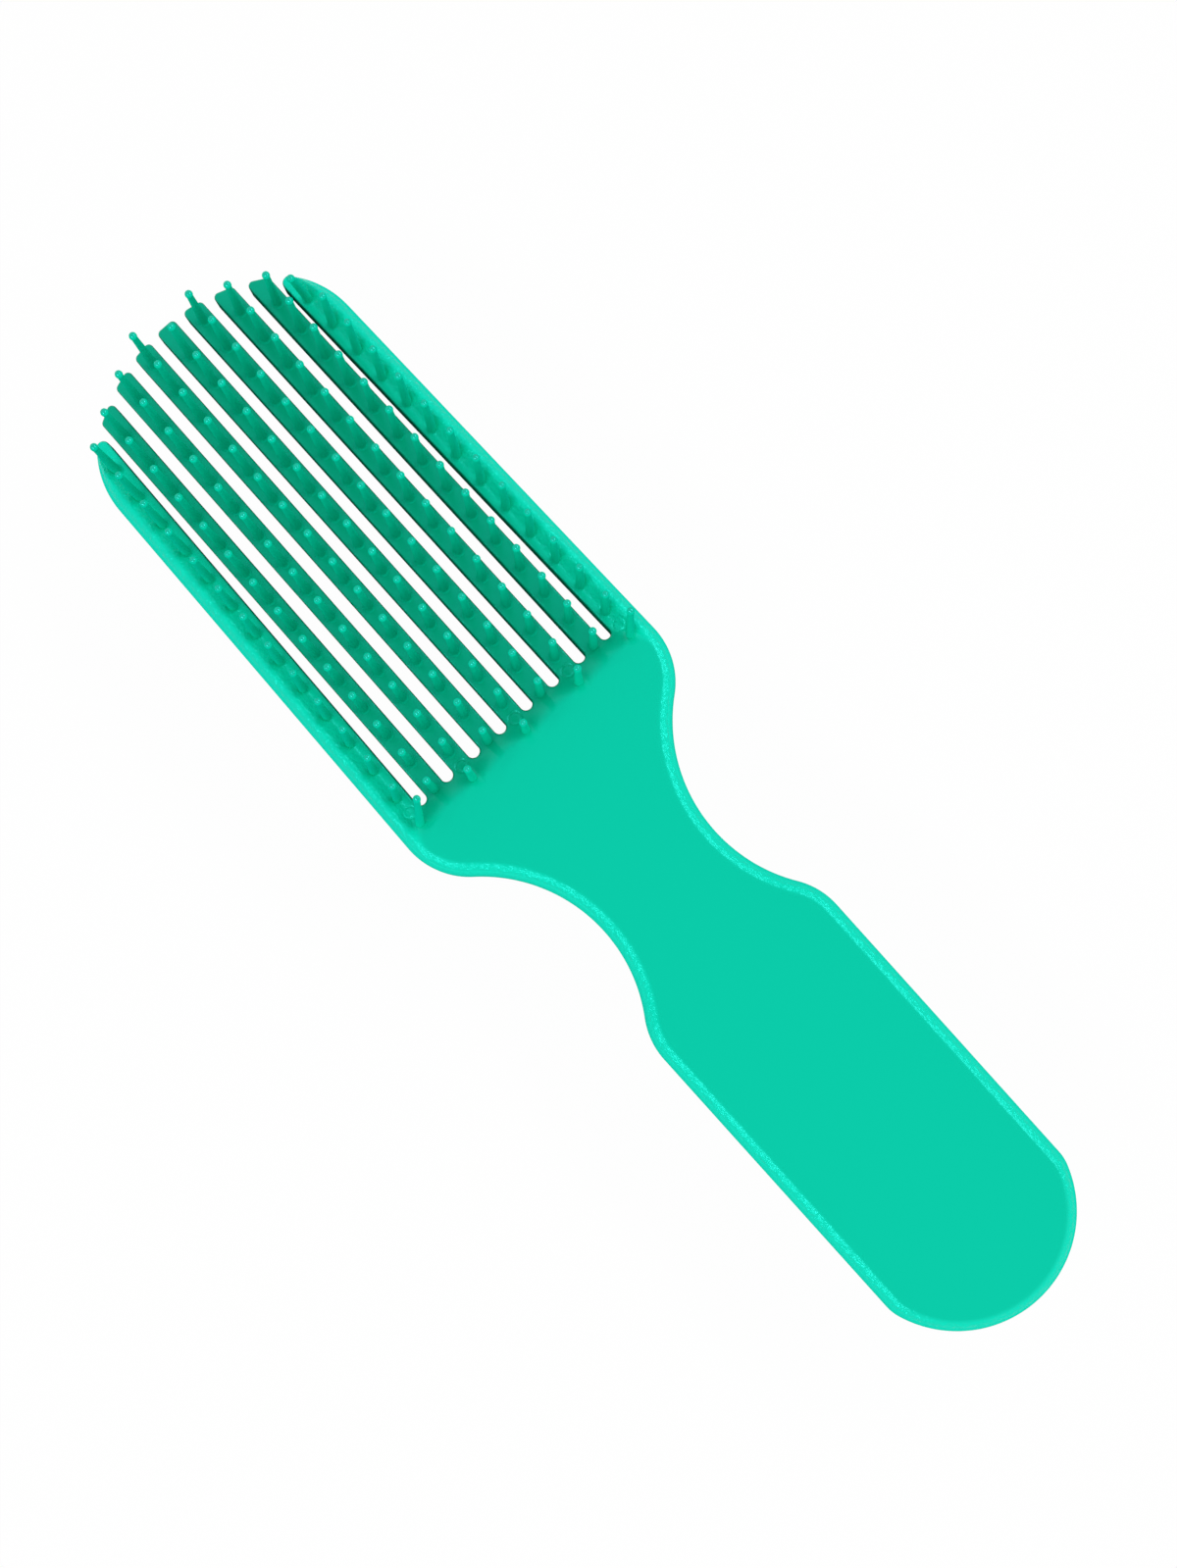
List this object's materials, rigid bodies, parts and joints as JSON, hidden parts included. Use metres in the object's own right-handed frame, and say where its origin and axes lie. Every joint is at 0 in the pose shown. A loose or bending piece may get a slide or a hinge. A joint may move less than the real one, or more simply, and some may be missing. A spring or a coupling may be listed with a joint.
{
  "type": "detangling comb",
  "caption": "Wide flat detangling comb: a one-piece plastic paddle handle with flexible separate arms, each carrying a row of round-tipped pins, inside two rimmed side rails.",
  "frame": {"origin": "under the middle of the comb's bounding box, on the flat surface it lies on", "axes": "+X along the comb towards the arm tips, +Y towards the left rail, +Z the way the pins stand"},
  "size_m": [0.235, 0.0594, 0.0168],
  "materials": {
    "moulded_plastic": "satin moulded plastic with a fine grain, one green throughout"
  },
  "bodies": {
    "handle": {"handle": "moulded_plastic", "root_pins": "moulded_plastic"},
    "left_rail": {"left_rail": "moulded_plastic", "left_rail_pins": "moulded_plastic"},
    "arm_2": {"arm_2": "moulded_plastic", "arm_2_pins": "moulded_plastic"},
    "arm_3": {"arm_3": "moulded_plastic", "arm_3_pins": "moulded_plastic"},
    "arm_4": {"arm_4": "moulded_plastic", "arm_4_pins": "moulded_plastic"},
    "arm_5": {"arm_5": "moulded_plastic", "arm_5_pins": "moulded_plastic"},
    "arm_6": {"arm_6": "moulded_plastic", "arm_6_pins": "moulded_plastic"},
    "arm_7": {"arm_7": "moulded_plastic", "arm_7_pins": "moulded_plastic"},
    "arm_8": {"arm_8": "moulded_plastic", "arm_8_pins": "moulded_plastic"},
    "right_rail": {"right_rail": "moulded_plastic", "right_rail_pins": "moulded_plastic"}
  },
  "joints": [
    {"name": "left_rail_flex", "type": "hinge", "parent": "handle", "child": "left_rail", "pos_m": [0.0252, 0.02634, 0.0019], "axis": [0, 1, 0], "range_deg": [-5, 6], "stiffness_Nm_per_rad": 1.2},
    {"name": "arm_2_flex", "type": "hinge", "parent": "handle", "child": "arm_2", "pos_m": [0.0252, 0.01905, 0.0019], "axis": [0, 1, 0], "range_deg": [-8, 12], "stiffness_Nm_per_rad": 0.45},
    {"name": "arm_3_flex", "type": "hinge", "parent": "handle", "child": "arm_3", "pos_m": [0.0252, 0.0127, 0.0019], "axis": [0, 1, 0], "range_deg": [-8, 12], "stiffness_Nm_per_rad": 0.45},
    {"name": "arm_4_flex", "type": "hinge", "parent": "handle", "child": "arm_4", "pos_m": [0.0252, 0.00635, 0.0019], "axis": [0, 1, 0], "range_deg": [-8, 12], "stiffness_Nm_per_rad": 0.45},
    {"name": "arm_5_flex", "type": "hinge", "parent": "handle", "child": "arm_5", "pos_m": [0.0252, 0, 0.0019], "axis": [0, 1, 0], "range_deg": [-8, 12], "stiffness_Nm_per_rad": 0.45},
    {"name": "arm_6_flex", "type": "hinge", "parent": "handle", "child": "arm_6", "pos_m": [0.0252, -0.00635, 0.0019], "axis": [0, 1, 0], "range_deg": [-8, 12], "stiffness_Nm_per_rad": 0.45},
    {"name": "arm_7_flex", "type": "hinge", "parent": "handle", "child": "arm_7", "pos_m": [0.0252, -0.0127, 0.0019], "axis": [0, 1, 0], "range_deg": [-8, 12], "stiffness_Nm_per_rad": 0.45},
    {"name": "arm_8_flex", "type": "hinge", "parent": "handle", "child": "arm_8", "pos_m": [0.0252, -0.01905, 0.0019], "axis": [0, 1, 0], "range_deg": [-8, 12], "stiffness_Nm_per_rad": 0.45},
    {"name": "right_rail_flex", "type": "hinge", "parent": "handle", "child": "right_rail", "pos_m": [0.0252, -0.02634, 0.0019], "axis": [0, 1, 0], "range_deg": [-5, 6], "stiffness_Nm_per_rad": 1.2}
  ]
}
